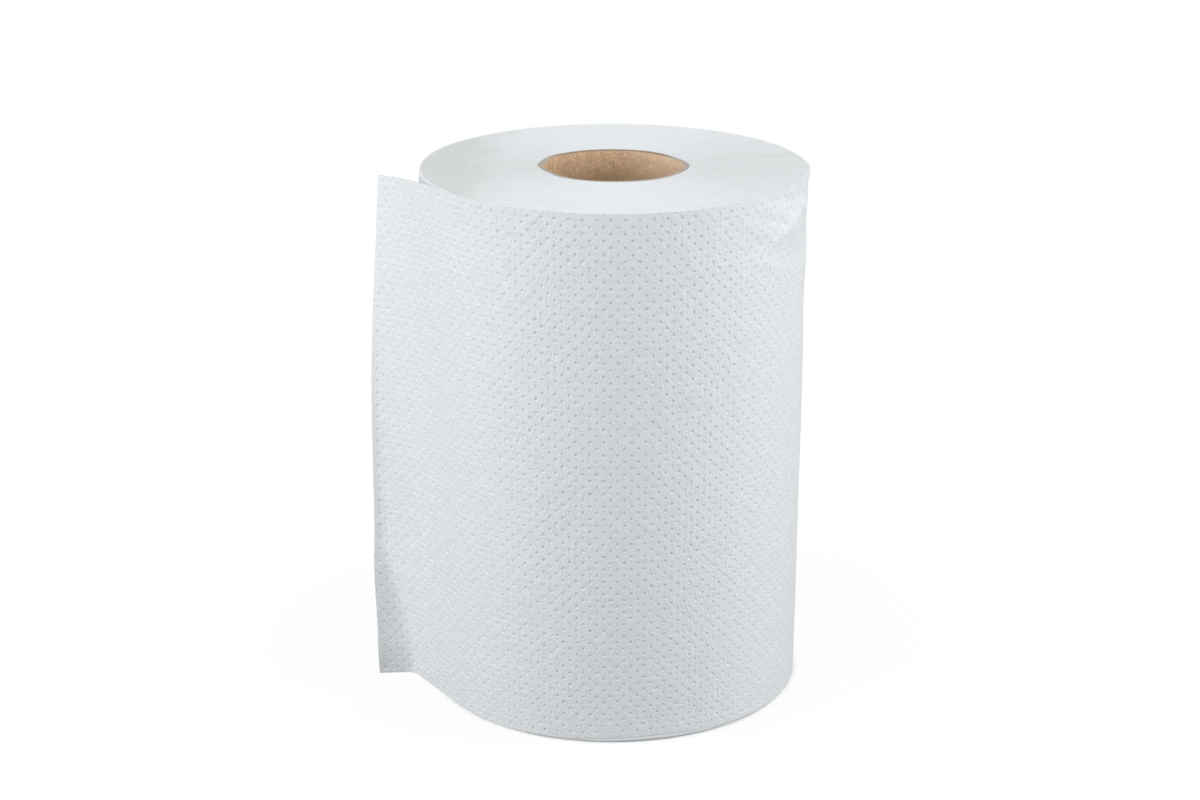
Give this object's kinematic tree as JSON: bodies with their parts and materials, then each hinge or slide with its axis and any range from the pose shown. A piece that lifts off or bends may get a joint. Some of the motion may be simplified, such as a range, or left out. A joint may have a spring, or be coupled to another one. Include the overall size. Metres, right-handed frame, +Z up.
{
  "type": "paper towel roll",
  "caption": "Paper towel roll on a cardboard core, standing on its end, with a loose tail curled at its lower corner.",
  "frame": {"origin": "on the axis of the core's bore, in the plane that the roll stands on", "axes": "+Z up the roll's axis; the picture looks along +Y with +X to its right, so the tail hangs off at the front left"},
  "size_m": [0.1634, 0.1429, 0.2],
  "materials": {
    "towel_paper": "matt embossed tissue",
    "core_board": "matt kraft board"
  },
  "bodies": {
    "root": {"cardboard_core": "core_board", "towel_web": "towel_paper"}
  },
  "joints": []
}
